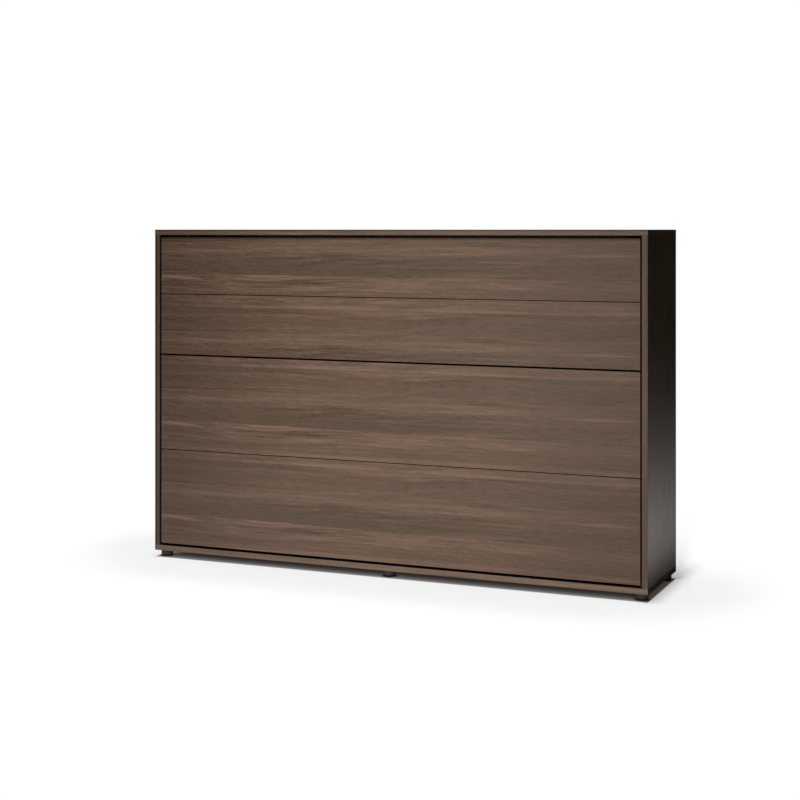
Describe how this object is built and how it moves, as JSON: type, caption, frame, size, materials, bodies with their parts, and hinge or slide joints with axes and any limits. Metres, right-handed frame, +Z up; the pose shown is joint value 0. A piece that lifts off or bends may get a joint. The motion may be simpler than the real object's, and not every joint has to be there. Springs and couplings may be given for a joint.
{
  "type": "wall bed",
  "caption": "Closed horizontal wall bed: dark wood cabinet on round feet with flush horizontal front boards, a tilting slatted steel frame, gas struts and swing-out legs.",
  "frame": {"origin": "on the floor, under the middle of the cabinet's footprint", "axes": "+X along the cabinet's width, to the right as seen from the front; +Y to the back, towards the wall; +Z up"},
  "size_m": [2.11, 0.445, 1.372],
  "materials": {
    "walnut_laminate": "matt",
    "birch": "satin",
    "zinc_steel": "satin",
    "black_steel": "satin",
    "strut_rod": "polished",
    "black_plastic": "matt",
    "nylon": "matt",
    "rubber": "matt",
    "webbing": "woven"
  },
  "bodies": {
    "cabinet": {"top_panel": "walnut_laminate", "bottom_panel": "walnut_laminate", "left_side_panel": "walnut_laminate", "right_side_panel": "walnut_laminate", "back_top_rail": "walnut_laminate", "back_middle_rail": "walnut_laminate", "back_bottom_rail": "walnut_laminate", "wall_brackets": "zinc_steel", "cam_fittings": "zinc_steel", "left_pivot_plate": "zinc_steel", "right_pivot_plate": "zinc_steel", "left_strut_anchor": "zinc_steel", "right_strut_anchor": "zinc_steel", "plate_screws": "zinc_steel", "stop_blocks": "black_plastic", "stop_buffers": "rubber", "foot_front_left": "black_plastic", "foot_front_middle": "black_plastic", "foot_front_right": "black_plastic", "foot_back_left": "black_plastic", "foot_back_middle": "black_plastic", "foot_back_right": "black_plastic", "foot_studs": "zinc_steel"},
    "bed": {"front_board_1": "walnut_laminate", "front_board_2": "walnut_laminate", "front_board_3": "walnut_laminate", "front_board_4": "walnut_laminate", "frame_lower_rail": "black_steel", "frame_upper_rail": "black_steel", "frame_left_rail": "black_steel", "frame_right_rail": "black_steel", "left_cross_bar": "black_steel", "middle_cross_bar": "black_steel", "right_cross_bar": "black_steel", "rail_caps": "black_plastic", "board_screws": "zinc_steel", "slats": "birch", "slat_holders": "black_plastic", "mattress_ledge": "zinc_steel", "left_strap": "webbing", "right_strap": "webbing", "strap_plates": "zinc_steel", "strap_buckles": "black_plastic", "left_lever_plate": "black_steel", "right_lever_plate": "black_steel", "left_pivot_bush": "nylon", "right_pivot_bush": "nylon", "stop_tabs": "black_steel", "leg_bearings": "black_steel"},
    "legs": {"leg_shaft": "zinc_steel", "left_leg": "black_steel", "right_leg": "black_steel", "left_leg_pad": "rubber", "right_leg_pad": "rubber"},
    "left_strut_tube": {"left_strut_cylinder": "black_steel"},
    "right_strut_tube": {"right_strut_cylinder": "black_steel"},
    "left_strut_piston": {"left_strut_rod": "strut_rod", "left_strut_bolt": "zinc_steel"},
    "right_strut_piston": {"right_strut_rod": "strut_rod", "right_strut_bolt": "zinc_steel"}
  },
  "joints": [
    {"name": "bed_tilt", "type": "hinge", "parent": "cabinet", "child": "bed", "pos_m": [0, -0.1625, 0.352], "axis": [1, 0, 0], "range_deg": [0, 90], "stiffness_Nm_per_rad": 90, "springref_deg": -25.78},
    {"name": "leg_swing", "type": "hinge", "parent": "bed", "child": "legs", "pos_m": [0, -0.1605, 1.319], "axis": [1, 0, 0], "range_deg": [0, 270]},
    {"name": "left_strut_swing", "type": "hinge", "parent": "cabinet", "child": "left_strut_tube", "pos_m": [-1.0165, -0.1245, 0.536], "axis": [1, 0, 0], "range_deg": [0, 24.8]},
    {"name": "right_strut_swing", "type": "hinge", "parent": "cabinet", "child": "right_strut_tube", "pos_m": [1.0165, -0.1245, 0.536], "axis": [1, 0, 0], "range_deg": [0, 24.8]},
    {"name": "left_strut_slide", "type": "slide", "parent": "left_strut_tube", "child": "left_strut_piston", "axis": [0, -0.0278, -0.9996], "range_m": [-0.1206, 0]},
    {"name": "right_strut_slide", "type": "slide", "parent": "right_strut_tube", "child": "right_strut_piston", "axis": [0, -0.0278, -0.9996], "range_m": [-0.1206, 0]}
  ],
  "couplings": [
    {"joint": "leg_swing", "follows": "bed_tilt", "ratio": 3},
    {"joint": "left_strut_swing", "follows": "bed_tilt", "ratio": 0.27544},
    {"joint": "right_strut_swing", "follows": "bed_tilt", "ratio": 0.27544},
    {"joint": "left_strut_slide", "follows": "bed_tilt", "m_per_rad": -0.076753},
    {"joint": "right_strut_slide", "follows": "bed_tilt", "m_per_rad": -0.076753}
  ]
}
